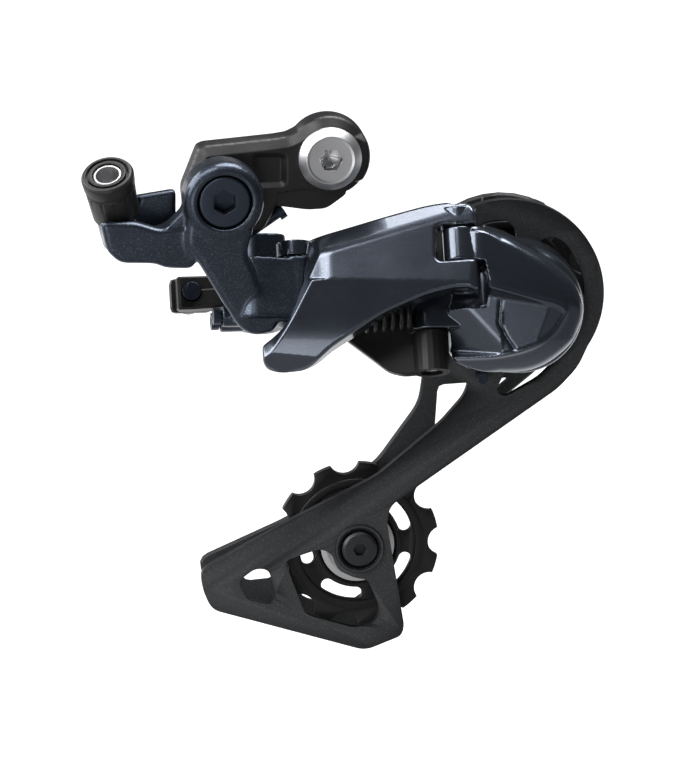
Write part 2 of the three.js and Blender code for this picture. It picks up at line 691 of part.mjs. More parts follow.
function cageOuterPlate() {
  const [front, back] = CAGE_OUTER;
  const round = plate(arc(P_AXIS.x - 1.6, P_AXIS.z + 1, RIM_R, 0, 350, 35), front, back, 0.7);
  const arm = plate(OUTER_ARM, front, back, 0.7);
  const boss = onAxis(rod(6.4, front - 0.6, back, 32), TENSION);
  const windows = [FRONT_WINDOW, MAIN_WINDOW, UPPER_WINDOW, ...OUTER_RIM_WINDOWS];
  const bores = [
    onAxis(rod(3.2 + GAP, 0, 8), P_AXIS),
    onAxis(rod(4.6 + GAP, 0, 4.3, 24), TENSION),
    onAxis(rod(2.4 + GAP, 0, 8), TENSION),
  ];
  return cut(
    join(solid(round), solid(arm), solid(boss)),
    ...windows.map((points) => solid(plate(points, front - 2, back + 2))),
    ...bores.map(solid),
  );
}

const INNER_ARM = rounded(
  [
    [-31.6, -110.4], [-8.7, -100.4], [14.7, -86.1], [26, -70.6], [28, -56], [66, -46], [58, -62], [24.6, -89],
    [18, -96], [19.6, -126], [10, -131.6], [-28.6, -119.6],
  ],
  3,
  3,
);
const INNER_WINDOWS = [
  rounded([[-21.6, -112.6], [-13.6, -110], [-11.6, -116.4], [-19, -117]], 1.4, 2),
  rounded([[-8.6, -108], [1, -103.8], [4, -113.4], [13, -120], [6, -124.8], [-4.4, -121.6]], 1.6, 2),
  rounded([[31, -66], [40, -65.6], [50, -64.4], [30, -80.6]], 1.6, 2),
  ...[[100, 168], [-40, 40], [195, 230]].map(([from, to]) => slot(GUIDE.x, GUIDE.z, 9.4, 19, from, to, 8)),
];

function cageInnerPlate() {
  const [front, back] = CAGE_INNER;
  const round = plate(arc(GUIDE.x, GUIDE.z, 23.2, 0, 350, 35), front, back, 0.5);
  const arm = plate(INNER_ARM, front, back, 0.5);
  return cut(
    join(solid(round), solid(arm)),
    ...INNER_WINDOWS.map((points) => solid(plate(points, front - 2, back + 2))),
    solid(onAxis(rod(2.4 + GAP, 10, 20, 20), GUIDE)),
    solid(onAxis(rod(2.4 + GAP, 10, 20, 20), TENSION)),
  );
}

add("cage_outer_plate", cageOuterPlate(), cageGrey);
add("cage_inner_plate", cageInnerPlate(), cageGrey);

// The tension pulley's bolt enters from outside, the guide pulley's from inside.
function pulleyBolt(head, flange, end, side) {
  const profile = [[0, head], [4.1, head], [4.6, head + 0.6 * side], [4.6, flange], [2.4, flange], [2.4, end], [0, end]];
  return cut(solid(turned(profile, 28)), solid(hexKey(3, Math.min(head - side, head + 1.8 * side), Math.max(head - side, head + 1.8 * side))));
}
add("tension_pulley_bolt", geometryOf(pulleyBolt(1.6, 4, 16.8, 1)).translate(TENSION.x, 0, TENSION.z), darkSteel);
add("guide_pulley_bolt", geometryOf(pulleyBolt(18.9, 17.3, 6, -1)).translate(GUIDE.x, 0, GUIDE.z), darkSteel);

add("cage_stop_pin", onAxis(rod(1.5, -2.6, CAGE_OUTER[0] - GAP), { x: 40.6, z: -60.6 }), darkSteel);

// ---------------------------------------------------------------- pulleys

// One tooth after another: roller seats cut between teeth whose tips are flat. The first seat lies at the phase.
function toothedOutline(tipRadius, tipHalfWidth, phase) {
  const step = 360 / TOOTH_COUNT;
  return Array.from({ length: TOOTH_COUNT }, (_, i) => {
    const seat = i * step + phase;
    const seatX = PITCH_R * Math.cos(THREE.MathUtils.degToRad(seat));
    const seatY = PITCH_R * Math.sin(THREE.MathUtils.degToRad(seat));
    const tipAngle = THREE.MathUtils.radToDeg(tipHalfWidth / tipRadius);
    return [
      ...arc(seatX, seatY, ROLLER_SEAT_R, seat - 112, seat - 248, 5),
      ...arc(0, 0, tipRadius, seat + step / 2 - tipAngle, seat + step / 2 + tipAngle, 1),
    ];
  }).flat();
}

function pulley(tipRadius, tipHalfWidth, phase, slots) {
  const half = TOOTH_THICKNESS / 2;
  const blade = plate(toothedOutline(tipRadius, tipHalfWidth, phase), -half, half, 0, slots);
  const hub = sleeve(4.5, 11.2, -3, 3, 24);
  const rim = sleeve(15.2, 17.2, -1.7, 1.7, 24);
  const bearingSeats = [rod(9.6 + GAP, -4, -1.7, 24), rod(9.6 + GAP, 1.7, 4, 24), rod(7.8 + GAP, -4, 4, 24)];
  return cut(join(solid(blade), solid(hub), solid(rim)), ...bearingSeats.map(solid));
}

const pulleySlots = (count) =>
  Array.from({ length: count }, (_, i) => slot(0, 0, 11.6, 14.9, (i * 360) / count + 12, ((i + 1) * 360) / count - 12, 3));

function pulleySet(name, centre, tipRadius, tipHalfWidth, phase) {
  const wheel = add(name + "_pulley", pulley(tipRadius, tipHalfWidth, phase, pulleySlots(5)), blackResin);
  wheel.position.set(centre.x, PULLEY_MID, centre.z);
  const rings = [
    ["_bearing_outer_race", sleeve(6.3, 7.8, -1.6, 1.6, 20), steel],
    ["_bearing_inner_race", sleeve(2.7, 4.3, -4.3, 4.3, 20), steel],
    ["_outer_dust_cap", turned([[4.6, -4.1], [9.6, -3], [9.6, -2], [4.6, -3.2], [4.6, -4.1]], 24), steel],
    ["_inner_dust_cap", turned([[4.6, 3.2], [9.6, 2], [9.6, 3], [4.6, 4.1], [4.6, 3.2]], 24), steel],
  ];
  for (const [part, shape, material] of rings) {
    const ring = add(name + part, shape, material);
    ring.position.set(centre.x, PULLEY_MID, centre.z);
  }
}

pulleySet("guide", GUIDE, GUIDE_TIP_R, 1.5, 16.4);
pulleySet("tension", TENSION, TENSION_TIP_R, 1.9, 0);

export default root;
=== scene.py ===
"""Looks of the rear derailleur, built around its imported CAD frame.

Sizes are in millimetres until an object is made."""

import json
import math

import bmesh
import bpy
import numpy as np
from mathutils import Matrix, Vector
from mathutils.geometry import convex_hull_2d, delaunay_2d_cdt


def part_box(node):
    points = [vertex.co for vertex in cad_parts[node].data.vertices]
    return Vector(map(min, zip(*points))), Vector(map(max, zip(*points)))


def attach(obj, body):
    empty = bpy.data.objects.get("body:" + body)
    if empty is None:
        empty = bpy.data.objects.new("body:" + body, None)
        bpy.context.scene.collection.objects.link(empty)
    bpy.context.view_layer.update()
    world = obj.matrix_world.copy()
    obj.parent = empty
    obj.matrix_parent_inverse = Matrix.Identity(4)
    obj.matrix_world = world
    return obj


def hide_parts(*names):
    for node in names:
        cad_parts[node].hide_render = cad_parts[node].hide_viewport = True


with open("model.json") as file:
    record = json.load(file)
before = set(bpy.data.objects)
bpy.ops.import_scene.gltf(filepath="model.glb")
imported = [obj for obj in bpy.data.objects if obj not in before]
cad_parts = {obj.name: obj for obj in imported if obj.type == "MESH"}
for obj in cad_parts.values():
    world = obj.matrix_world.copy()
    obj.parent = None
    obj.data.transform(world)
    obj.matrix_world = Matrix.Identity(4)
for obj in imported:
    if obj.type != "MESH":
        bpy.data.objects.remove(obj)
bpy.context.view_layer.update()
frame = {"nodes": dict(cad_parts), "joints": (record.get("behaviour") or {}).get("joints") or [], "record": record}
nodes = frame["nodes"]
MM = 0.001


# ------------------------------------------------------------------ places taken from the frame


def y_range(node):
    """Outboard and inboard ends of a CAD node's box along Y."""
    return [corner.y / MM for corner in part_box(node)]


def joint(name):
    return next(j for j in frame["joints"] if j["name"] == name)


def joint_point(name):
    return Vector(joint(name)["pos_m"]) / MM


def joint_axis(name):
    return Vector(joint(name)["axis"]).normalized()


B = joint_point("b_pivot")
P = joint_point("cage_pivot")
GUIDE = joint_point("guide_spin")
TENSION = joint_point("tension_spin")
PIN_A = joint_point("shift_outer")
PIN_B = joint_point("shift_inner")
PIN_C = joint_point("knuckle_level")
PIN_D = PIN_B + PIN_C - PIN_A
PIN_AXIS = joint_axis("shift_outer")

# The outer link's frame: s along the link, w along its pins, h outboard.
LINK_S = (PIN_C - PIN_A).normalized()
LINK_H = LINK_S.cross(PIN_AXIS).normalized()
if LINK_H.y > 0:
    LINK_H.negate()
LINK_FRAME = Matrix((LINK_S, PIN_AXIS, LINK_H)).transposed().to_4x4()
LINK_FRAME.translation = PIN_A
LINK_LENGTH = (PIN_C - PIN_A).length

# The front plane: a along X, b along Z, h outboard (towards -Y).
FRONT = Matrix(((1, 0, 0, 0), (0, 0, -1, 0), (0, 1, 0, 0), (0, 0, 0, 1)))


# ------------------------------------------------------------------ outlines


MOST_OF_EDGE = 0.48  # the share of an edge that the rounding of one corner may take


def arc(cx, cy, radius, start, end, steps):
    """Points along an arc, angles in degrees."""
    angles = np.radians(np.linspace(start, end, steps + 1))
    return [(cx + radius * math.cos(t), cy + radius * math.sin(t)) for t in angles]


def rounded(points, radius, steps=6):
    """A closed outline with its corners rounded; a corner may carry its own radius as a third value."""
    outline = []
    for i, corner in enumerate(points):
        here = Vector(corner[:2])
        reach = corner[2] if len(corner) > 2 else radius
        before = Vector(points[i - 1][:2]) - here
        after = Vector(points[(i + 1) % len(points)][:2]) - here
        size = min(reach, before.length * MOST_OF_EDGE, after.length * MOST_OF_EDGE)
        start = here + before.normalized() * size
        end = here + after.normalized() * size
        for k in range(steps + 1):
            t = k / steps
            outline.append(tuple(start * (1 - t) ** 2 + here * 2 * t * (1 - t) + end * t * t))
    return outline


def resampled(loop, step):
    """Points along a closed loop about a step apart, keeping its corners."""
    points = []
    for i, p in enumerate(loop):
        q = loop[(i + 1) % len(loop)]
        count = max(1, round(math.dist(p, q) / step))
        points += [tuple(np.array(p) + (np.array(q) - np.array(p)) * k / count) for k in range(count)]
    return points


def inside(points, loop):
    """Which points lie inside a closed loop."""
    x, y = points[:, 0], points[:, 1]
    found = np.zeros(len(points), bool)
    for (x0, y0), (x1, y1) in zip(loop, loop[1:] + loop[:1]):
        if y0 != y1:
            crosses = (y0 > y) != (y1 > y)
            found ^= crosses & (x < (x1 - x0) * (y - y0) / (y1 - y0) + x0)
    return found


def segment_distance(points, a, b):
    """Distance to the straight line between two places."""
    a, b = np.array(a), np.array(b)
    along = b - a
    t = np.clip(((points - a) @ along) / max(along @ along, 1e-12), 0, 1)
    return np.hypot(*(points - a - t[:, None] * along).T)


def to_loop(points, loop):
    """Distance to a closed loop."""
    return np.min([segment_distance(points, a, b) for a, b in zip(loop, loop[1:] + loop[:1])], 0)


def along_line(points, a, b):
    """Signed distance to the left of the line from a to b."""
    a, b = np.array(a, float), np.array(b, float)
    d = (b - a) / np.linalg.norm(b - a)
    return (points[:, 0] - a[0]) * -d[1] + (points[:, 1] - a[1]) * d[0]


def plane(points, p, q, r):
    """Height of the plane through three (x, y, height) points."""
    solved = np.linalg.solve([[*p[:2], 1], [*q[:2], 1], [*r[:2], 1]], [p[2], q[2], r[2]])
    return points @ solved[:2] + solved[2]


def soft_min(a, b, width):
    """The lower of two heights, with the ridge between them rounded over a width."""
    t = np.clip((b - a) / width, -1, 1)
    return np.minimum(a, b) - width * 0.25 * (1 - np.abs(t)) ** 2


def rim(d, radius):
    """How far a rounded rim drops at a distance from the edge."""
    x = np.clip(radius - d, 0, radius)
    return radius - np.sqrt(np.maximum(radius * radius - x * x, 0))


def pin_frame():
    """The frame that the parallelogram is drawn in: u along X, v inboard and down, w along the pins."""
    across = PIN_AXIS.cross(Vector((1, 0, 0))).normalized()
    if across.y < 0:
        across.negate()
    return Matrix((Vector((1, 0, 0)), across, PIN_AXIS)).transposed().to_4x4()


def hull(circles, steps=32):
    """Outline of the convex shape around circles given as (x, y, radius)."""
    points = [Vector((x + r * math.cos(t), y + r * math.sin(t))) for x, y, r in circles
              for t in np.radians(np.arange(steps) * 360 / steps)]
    return [tuple(points[i]) for i in convex_hull_2d(points)]


PIN_FRAME = pin_frame()


# ------------------------------------------------------------------ meshes


SHARP_ANGLE = 38  # degrees
WELD_DISTANCE = 1e-6  # metres


def placed(thing):
    """Links an object to the scene."""
    bpy.context.scene.collection.objects.link(thing)
    return thing


def made(name, vertices, faces, matrix=Matrix.Identity(4), sharp=SHARP_ANGLE):
    """A mesh object in metres from vertices in millimetres, smooth apart from sharp edges."""
    mesh = bpy.data.meshes.new(name)
    mesh.from_pydata([matrix @ Vector(v) * MM for v in vertices], [], faces)
    mesh.validate()
    tidy = bmesh.new()
    tidy.from_mesh(mesh)
    bmesh.ops.remove_doubles(tidy, verts=tidy.verts, dist=WELD_DISTANCE / 10)
    bmesh.ops.delete(tidy, geom=[e for e in tidy.edges if not e.link_faces], context="EDGES")
    bmesh.ops.recalc_face_normals(tidy, faces=tidy.faces)
    tidy.to_mesh(mesh)
    tidy.free()
    mesh.shade_smooth()
    mesh.set_sharp_from_angle(angle=math.radians(sharp))
    return placed(bpy.data.objects.new(name, mesh))


NEARLY = 0.97


def inset_points(ring, loops, reach):
    """Points beside a ring at a distance, on the body's side of it, where no other edge is nearer."""
    ring = np.array(ring)
    along = np.roll(ring, -1, 0) - np.roll(ring, 1, 0)
    normal = np.stack([-along[:, 1], along[:, 0]], 1) / np.maximum(np.hypot(*along.T), 1e-9)[:, None]
    found = []
    for side in (reach, -reach):
        moved = ring + normal * side
        keep = inside(moved, loops[0])
        for other in loops[1:]:
            keep &= ~inside(moved, other)
        for other in loops:
            keep &= to_loop(moved, other) > reach * NEARLY
        found += [tuple(p) for p in moved[keep]]
    return found


def relief(name, loop, holes, height, back, step, matrix, sharp=SHARP_ANGLE, creases=(), inset=0.0, fine=0.0):
    """A body whose front is a relief over an outline with holes. Its back is flat or given by a function.

    The height is a function of the points and their distances to the nearest outline. Points lie a
    step apart, finer along the outlines. Creases and an inset from the outlines stay crisp."""
    fine = fine or step
    loops = [resampled(loop, fine)] + [resampled(h, fine) for h in holes]
    points, edges = [], []
    for ring in loops:
        first = len(points)
        points += ring
        edges += [(first + i, first + (i + 1) % len(ring)) for i in range(len(ring))]
    if inset:
        for ring in loops:
            points += inset_points(ring, loops, inset)
    for a, b in creases:
        count = max(1, round(math.dist(a, b) / fine))
        first = len(points)
        points += [tuple(np.array(a) + (np.array(b) - np.array(a)) * k / count) for k in range(count + 1)]
        edges += [(first + i, first + i + 1) for i in range(count)]
    low, high = np.min(loops[0], 0), np.max(loops[0], 0)
    xs = np.arange(low[0], high[0], step)
    ys = np.arange(low[1], high[1], step * 0.866)
    grid = np.array([(x + (j % 2) * step / 2, y) for j, y in enumerate(ys) for x in xs])
    grid = grid[inside(grid, loops[0])]
    for ring in loops:
        grid = grid[to_loop(grid, ring) > max(fine * 0.6, inset + fine * 0.5 if inset else 0)]
    for ring in loops[1:]:
        grid = grid[~inside(grid, ring)]
    points += [tuple(p) for p in grid]
    flat, _, faces, *_ = delaunay_2d_cdt([Vector(p) for p in points], edges, [], 1, 1e-6)
    flat = np.array([(v.x, v.y) for v in flat])
    middles = np.array([flat[list(f)].mean(0) for f in faces])
    keep = inside(middles, loops[0])
    for ring in loops[1:]:
        keep &= ~inside(middles, ring)
    faces = [tuple(f) for f, k in zip(faces, keep) if k]
    top = height(flat, np.min([to_loop(flat, ring) for ring in loops], 0))
    bottom = back(flat) if callable(back) else np.full(len(flat), back)
    count = len(flat)
    vertices = [(x, y, h) for side in (top, bottom) for (x, y), h in zip(flat, side)]
    used = dict.fromkeys((f[i], f[(i + 1) % 3]) for f in faces for i in range(3))
    sides = [(b, a, a + count, b + count) for a, b in used if (b, a) not in used]
    backs = [tuple(i + count for i in reversed(f)) for f in faces]
    return made(name, vertices, faces + backs + sides, matrix, sharp)


def lathe(name, profile, centre, axis=Vector((0, 1, 0)), segments=72, sharp=SHARP_ANGLE):
    """A turned body about an axis, from a closed profile of (radius, height) points."""
    turn = Vector((0, 0, 1)).rotation_difference(axis).to_matrix().to_4x4()
    turn.translation = Vector(centre)
    vertices, faces = [], []
    count = len(profile)
    for k in range(segments):
        t = 2 * math.pi * k / segments
        vertices += [(r * math.cos(t), r * math.sin(t), h) for r, h in profile]
    for k in range(segments):
        for i in range(count):
            a, b = k * count + i, k * count + (i + 1) % count
            c, d = (b + count) % len(vertices), (a + count) % len(vertices)
            faces.append((a, b, c, d))
    return made(name, vertices, faces, turn, sharp)


def cylinder(name, radius, low, high, centre, axis=Vector((0, 1, 0)), segments=72):
    """A plain turned cutter, or a boss to join on."""
    profile = [(0, low), (radius, low), (radius, high), (0, high)]
    return lathe(name, profile, centre, axis, segments)


def eased(profile, radius, steps=4):
    """A lathe profile with its off-axis corners rounded."""
    return rounded([(r, h, 0 if r < 1e-6 else radius) for r, h in profile], radius, steps)


def prism(name, loop, low, high, matrix, sharp=SHARP_ANGLE):
    """A straight body over an outline, from one height to another."""
    count = len(loop)
    vertices = [(x, y, low) for x, y in loop] + [(x, y, high) for x, y in loop]
    sides = [(i, (i + 1) % count, (i + 1) % count + count, i + count) for i in range(count)]
    ends = [tuple(reversed(range(count))), tuple(range(count, 2 * count))]
    return made(name, vertices, ends + sides, matrix, sharp)


def boolean(target, tool, operation="DIFFERENCE"):
    """Cuts or joins a tool into a target, and removes the tool."""
    modifier = target.modifiers.new("boolean", "BOOLEAN")
    modifier.operation = operation
    modifier.solver = "MANIFOLD"
    modifier.object = tool
    baked(target)
    bpy.data.objects.remove(tool)
    return target


def baked(target):
    """Applies every modifier of an object to its mesh."""
    graph = bpy.context.evaluated_depsgraph_get()
    mesh = bpy.data.meshes.new_from_object(target.evaluated_get(graph))
    target.modifiers.clear()
    target.data = mesh
    return target


def resharpened(target, sharp=SHARP_ANGLE):
    """Marks sharp edges again after cuts and joins."""
    target.data.shade_smooth()
    target.data.set_sharp_from_angle(angle=math.radians(sharp))
    return target


def bevelled(target, width, segments=3, angle=35):
    """Rounds an object's sharp edges with a modifier."""
    weld = target.modifiers.new("weld", "WELD")
    weld.merge_threshold = WELD_DISTANCE
    modifier = target.modifiers.new("bevel", "BEVEL")
    modifier.width = width * MM
    modifier.segments = segments
    modifier.limit_method = "ANGLE"
    modifier.angle_limit = math.radians(angle)
    modifier.harden_normals = True
    return target


def hexagon(across_flats, turn=0, centre=(0, 0)):
    r = across_flats / math.sqrt(3)
    angles = [math.radians(60 * k + turn) for k in range(6)]
    return [(centre[0] + r * math.cos(t), centre[1] + r * math.sin(t)) for t in angles]


def copied(name, source):
    """A copy of a CAD node to work on, its split vertices welded into a closed mesh."""
    mesh = nodes[source].data.copy()
    tidy = bmesh.new()
    tidy.from_mesh(mesh)
    bmesh.ops.remove_doubles(tidy, verts=tidy.verts, dist=WELD_DISTANCE)
    tidy.to_mesh(mesh)
    tidy.free()
    return placed(bpy.data.objects.new(name, mesh))


def softened(cast, voxel, passes):
    """Remeshes and smooths a body so that its corners are filleted as a casting's are."""
    remesh = cast.modifiers.new("remesh", "REMESH")
    remesh.mode = "VOXEL"
    remesh.voxel_size = voxel * MM
    smooth = cast.modifiers.new("smooth", "SMOOTH")
    smooth.factor = 0.5
    smooth.iterations = passes
    baked(cast)
    cast.data.shade_smooth()
    return cast


# ------------------------------------------------------------------ materials


COAT_ROUGHNESS = 0.05
UNEVEN_SIZE = 9.0  # patches of uneven gloss
FLAKE_SIZE = 0.16
FLAKE_COLOUR = (0.42, 0.45, 0.5, 1)


def shader(name, colour, roughness, metallic=0.0, coat=0.0, specular=0.5):
    material = bpy.data.materials.new(name)
    material.use_nodes = True
    principled = material.node_tree.nodes["Principled BSDF"]
    principled.inputs["Base Color"].default_value = (*colour, 1)
    principled.inputs["Roughness"].default_value = roughness
    principled.inputs["Metallic"].default_value = metallic
    principled.inputs["Coat Weight"].default_value = coat
    principled.inputs["Coat Roughness"].default_value = COAT_ROUGHNESS
    principled.inputs["Specular IOR Level"].default_value = specular
    return material, principled


def detailed(name, colour, roughness, metallic=0.0, coat=0.0, grain=0.3, contrast=0.25, rough_vary=0.08,
             bump=0.02, flake=0.0, scratch=0.0, edge=None, specular=0.5):
    """A finish with grain, colour variation and uneven gloss.

    It may also have metal flakes, turning marks, or another colour on every face that isn't square to Y, which is
    painted shade for bevels that face away from the light."""
    material, principled = shader(name, colour, roughness, metallic, coat, specular)
    tree = material.node_tree
    new, link = tree.nodes.new, tree.links.new
    place = new("ShaderNodeTexCoord").outputs["Object"]

    def noise(size_mm, detail=3.0):
        node = new("ShaderNodeTexNoise")
        node.inputs["Scale"].default_value = 1 / (size_mm * MM)
        node.inputs["Detail"].default_value = detail
        link(place, node.inputs["Vector"])
        return node.outputs["Fac"]

    def spread(value, low, high, from_low=0.3, from_high=0.7):
        node = new("ShaderNodeMapRange")
        node.inputs["From Min"].default_value = from_low
        node.inputs["From Max"].default_value = from_high
        node.inputs["To Min"].default_value = low
        node.inputs["To Max"].default_value = high
        link(value, node.inputs["Value"])
        return node.outputs["Result"]

    fine, broad = noise(grain), noise(UNEVEN_SIZE, 2.0)
    tone = spread(fine, 1 - contrast, 1 + contrast)
    shade = new("ShaderNodeMix")
    shade.data_type = "RGBA"
    shade.blend_type = "MULTIPLY"
    shade.inputs["Factor"].default_value = 1.0
    shade.inputs["A"].default_value = (*colour, 1)
    grey = new("ShaderNodeCombineColor")
    for channel in ("Red", "Green", "Blue"):
        link(tone, grey.inputs[channel])
    link(grey.outputs["Color"], shade.inputs["B"])
    colour_out = shade.outputs["Result"]
    if flake:
        cells = new("ShaderNodeTexVoronoi")
        cells.inputs["Scale"].default_value = 1 / (FLAKE_SIZE * MM)
        link(place, cells.inputs["Vector"])
        split = new("ShaderNodeSeparateColor")
        link(cells.outputs["Color"], split.inputs["Color"])
        glint = spread(split.outputs["Red"], 0, flake, 0.86, 1.0)
        sparkle = new("ShaderNodeMix")
        sparkle.data_type = "RGBA"
        sparkle.inputs["B"].default_value = FLAKE_COLOUR
        link(glint, sparkle.inputs["Factor"])
        link(colour_out, sparkle.inputs["A"])
        colour_out = sparkle.outputs["Result"]
    # painted shade: faces that aren't square to Y, such as bevels, take the edge colour as if turned away from the
    # light
    if edge:
        split_normal = new("ShaderNodeSeparateXYZ")
        link(new("ShaderNodeTexCoord").outputs["Normal"], split_normal.inputs["Vector"])
        size = new("ShaderNodeMath")
        size.operation = "ABSOLUTE"
        link(split_normal.outputs["Y"], size.inputs[0])
        on_face = spread(size.outputs["Value"], 0, 1, 0.93, 0.99)
        painted_bevel_shade = new("ShaderNodeMix")
        painted_bevel_shade.data_type = "RGBA"
        painted_bevel_shade.inputs["A"].default_value = (*edge, 1)
        link(on_face, painted_bevel_shade.inputs["Factor"])
        link(colour_out, painted_bevel_shade.inputs["B"])
        colour_out = painted_bevel_shade.outputs["Result"]
    link(colour_out, principled.inputs["Base Color"])
    link(spread(broad, roughness - rough_vary, roughness + rough_vary), principled.inputs["Roughness"])
    relief_node = new("ShaderNodeBump")
    relief_node.inputs["Distance"].default_value = bump * MM
    relief_node.inputs["Strength"].default_value = 1.0
    surface = fine
    if scratch:
        waves = new("ShaderNodeTexWave")
        waves.wave_type = "RINGS"
        waves.rings_direction = "Y"
        waves.inputs["Scale"].default_value = 1 / (scratch * MM)
        waves.inputs["Distortion"].default_value = 1.5
        link(place, waves.inputs["Vector"])
        surface = waves.outputs["Fac"]
    link(surface, relief_node.inputs["Height"])
    link(relief_node.outputs["Normal"], principled.inputs["Normal"])
    return material


GLOSS_BLUE = detailed(
    "gloss_blue_grey", (0.062, 0.072, 0.092), 0.22, 0.9, coat=0.4, grain=0.12, contrast=0.06,
    rough_vary=0.02, bump=0.0008, flake=0.12,
)
SATIN_BLUE = detailed(
    "satin_blue_grey", (0.034, 0.042, 0.058), 0.34, 0.9, coat=0.1, grain=0.14, contrast=0.12,
    rough_vary=0.04, bump=0.003, flake=0.2,
)
BLACK_ALLOY = detailed(
    "black_alloy", (0.006, 0.006, 0.0065), 0.4, grain=0.2, contrast=0.3, bump=0.006, specular=0.3,
)
# the cage's edge colour is painted shade on its bevels, darker than the face as if they caught no light
CAGE_GREY = detailed(
    "cage_grey", (0.040, 0.0415, 0.0435), 0.5, 0.5, grain=0.15, contrast=0.3, bump=0.008, flake=0.15,
    edge=(0.006, 0.006, 0.007),
)
BLACK_RESIN = detailed(
    "black_resin", (0.008, 0.008, 0.008), 0.48, grain=0.25, contrast=0.3, bump=0.008, specular=0.3,
)
RUBBER = detailed("seal_rubber", (0.008, 0.008, 0.008), 0.75, grain=0.3, contrast=0.3, bump=0.02)
BRIGHT_STEEL = detailed(
    "bright_steel", (0.50, 0.50, 0.51), 0.38, 1.0, grain=0.3, contrast=0.05, rough_vary=0.03,
    bump=0.0005, scratch=0.22,
)
CAP_STEEL = detailed("cap_steel", (0.55, 0.55, 0.56), 0.3, 1.0, contrast=0.06, bump=0.001)
BUSH_STEEL = detailed("bush_steel", (0.42, 0.42, 0.43), 0.3, 1.0, contrast=0.08, bump=0.002)
DARK_STEEL = detailed("dark_steel", (0.034, 0.042, 0.060), 0.36, 0.9, grain=0.2, contrast=0.12, bump=0.002)
BOLT_BLACK = detailed("bolt_black", (0.035, 0.036, 0.038), 0.42, 0.7, grain=0.2, contrast=0.15, bump=0.003)
SPRING_STEEL = detailed("spring_steel", (0.014, 0.014, 0.015), 0.36, 0.6, contrast=0.2, bump=0.003)

SLOT_LOOK = {
    "blue_grey_paint": GLOSS_BLUE,
    "black_alloy": BLACK_ALLOY,
    "cage_paint": CAGE_GREY,
    "black_resin": BLACK_RESIN,
    "bright_steel": BRIGHT_STEEL,
    "bush_steel": BUSH_STEEL,
    "dark_steel": DARK_STEEL,
    "spring_steel": SPRING_STEEL,
    "seal_rubber": RUBBER,
}
CAD_BEVEL = 0.15
NODE_SLOT = {s["node"]: s["material_slot"] for s in frame["record"]["subparts"]}
NODE_BODY = {n: b for b, group in frame["record"]["behaviour"]["bodies"].items() for n in group}


def shown(piece, replaced, material=None):
    """Gives a piece its finish, and puts it in the place and on the body of the CAD node that it replaces."""
    replaced = [replaced] if isinstance(replaced, str) else replaced
    name = NODE_SLOT[replaced[0]]
    piece.data.materials.clear()
    piece.data.materials.append(material or SLOT_LOOK[name])
    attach(piece, NODE_BODY[replaced[0]])
    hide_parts(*replaced)
    return piece


for node_name, node in nodes.items():
    node.data.materials.clear()
    node.data.materials.append(SLOT_LOOK[NODE_SLOT[node_name]])
    bevelled(node, CAD_BEVEL, 2)


# ------------------------------------------------------------------ bracket link and bolts

EYE_R = 10.6
AXLE_END_R = 9.4
AXLE_HOLE_R = 5.3
CHAMFER = 2.6
CHAMFER_SLOPE = 0.75
POCKET_DEPTH = 1.1
LEDGE_DEPTH = 1.6
LIP_HEIGHT = 7.6


def bracket_link():
    front, back = (-y for y in y_range("bracket_link"))
    loop = [
        (-33.8, 2.9), (-32.2, 3.6), (-14, 5.1), (-10.6, 5.6), *arc(0, 0, EYE_R, 140, -62, 40), (-2, -10.0),
        (-12.4, -10.9), (-13.6, -12.2), (-16.6, -17.8), (-18.2, -19.0), (-20.4, -19.4),
        *arc(B.x, B.z, AXLE_END_R, -80, -190, 20),
    ]
    loop = rounded(loop, 0.8, 3)
    pocket = rounded([(-20.4, 1.9), (-10.9, 1.7), (-10.9, -7.6), (-20.4, -7.8)], 2.2, 5)

    def height(p, d):
        """Wide chamfer on the upper side, narrow elsewhere; a pocket, and a ledge along the lower side."""
        upper_side = np.clip(along_line(p, (B.x, B.z), (0, 0)) * 0.3, 0.25, 1)
        top = front - CHAMFER_SLOPE * np.clip(CHAMFER * upper_side - d, 0, None) - rim(d, 0.3)
        into_pocket = to_loop(p, pocket)
        depth = np.where(inside(p, pocket), np.clip(into_pocket / 1.6, 0, 1) * POCKET_DEPTH, 0)
        ledge = np.clip((along_line(p, (-34, -11.5), (0, -7.2)) * -1) / 0.5, 0, 1) * LEDGE_DEPTH
        beyond = (p[:, 0] > -13.4) & (np.hypot(p[:, 0], p[:, 1]) > 9.4)
        return top - depth - np.where(beyond, ledge, 0)

    body = relief("bracket_link_casting", loop, [], height, back, 0.3, FRONT, 60, fine=0.28)
    lip = [(-22, -8), (-19.5, -12.4), (-14.4, -12.2), (-5.6, -13.6), (-0.8, -13.4), (4.6, -9.6), (4, -5)]
    boolean(body, prism("lip", rounded(lip, 1.5), back, LIP_HEIGHT, FRONT), "UNION")
    for centre in ((0, 0, 0), (B.x, 0, B.z)):
        boolean(body, cylinder("bore", AXLE_HOLE_R, -14, 4, centre))
    return shown(resharpened(body), "bracket_link")


def hanger_bolt():
    front, back = y_range("hanger_bolt")
    profile = [
        (0, front + 0.25), (5.6, front + 0.25, 0.1), (6.2, front, 0.15), (8.2, front + 1.7, 0.2),
        (8.2, -8.3, 0.2), (5, -8.3, 0.1), (5, back - 0.8, 0.1), (4.2, back, 0.1), (0, back),
    ]
    bolt = lathe("hanger_bolt_turned", rounded(profile, 0, 4), (0, 0, 0))
    boolean(bolt, prism("socket", hexagon(5.4), -front - 4.2, -front + 3, FRONT))
    drill = [(0, front + 6), (3.05, front + 4.1), (3.05, front + 2), (0, front + 2)]
    boolean(bolt, lathe("drill", drill, (0, 0, 0)))
    return shown(bevelled(resharpened(bolt, 30), 0.08, 2, 30), "hanger_bolt")


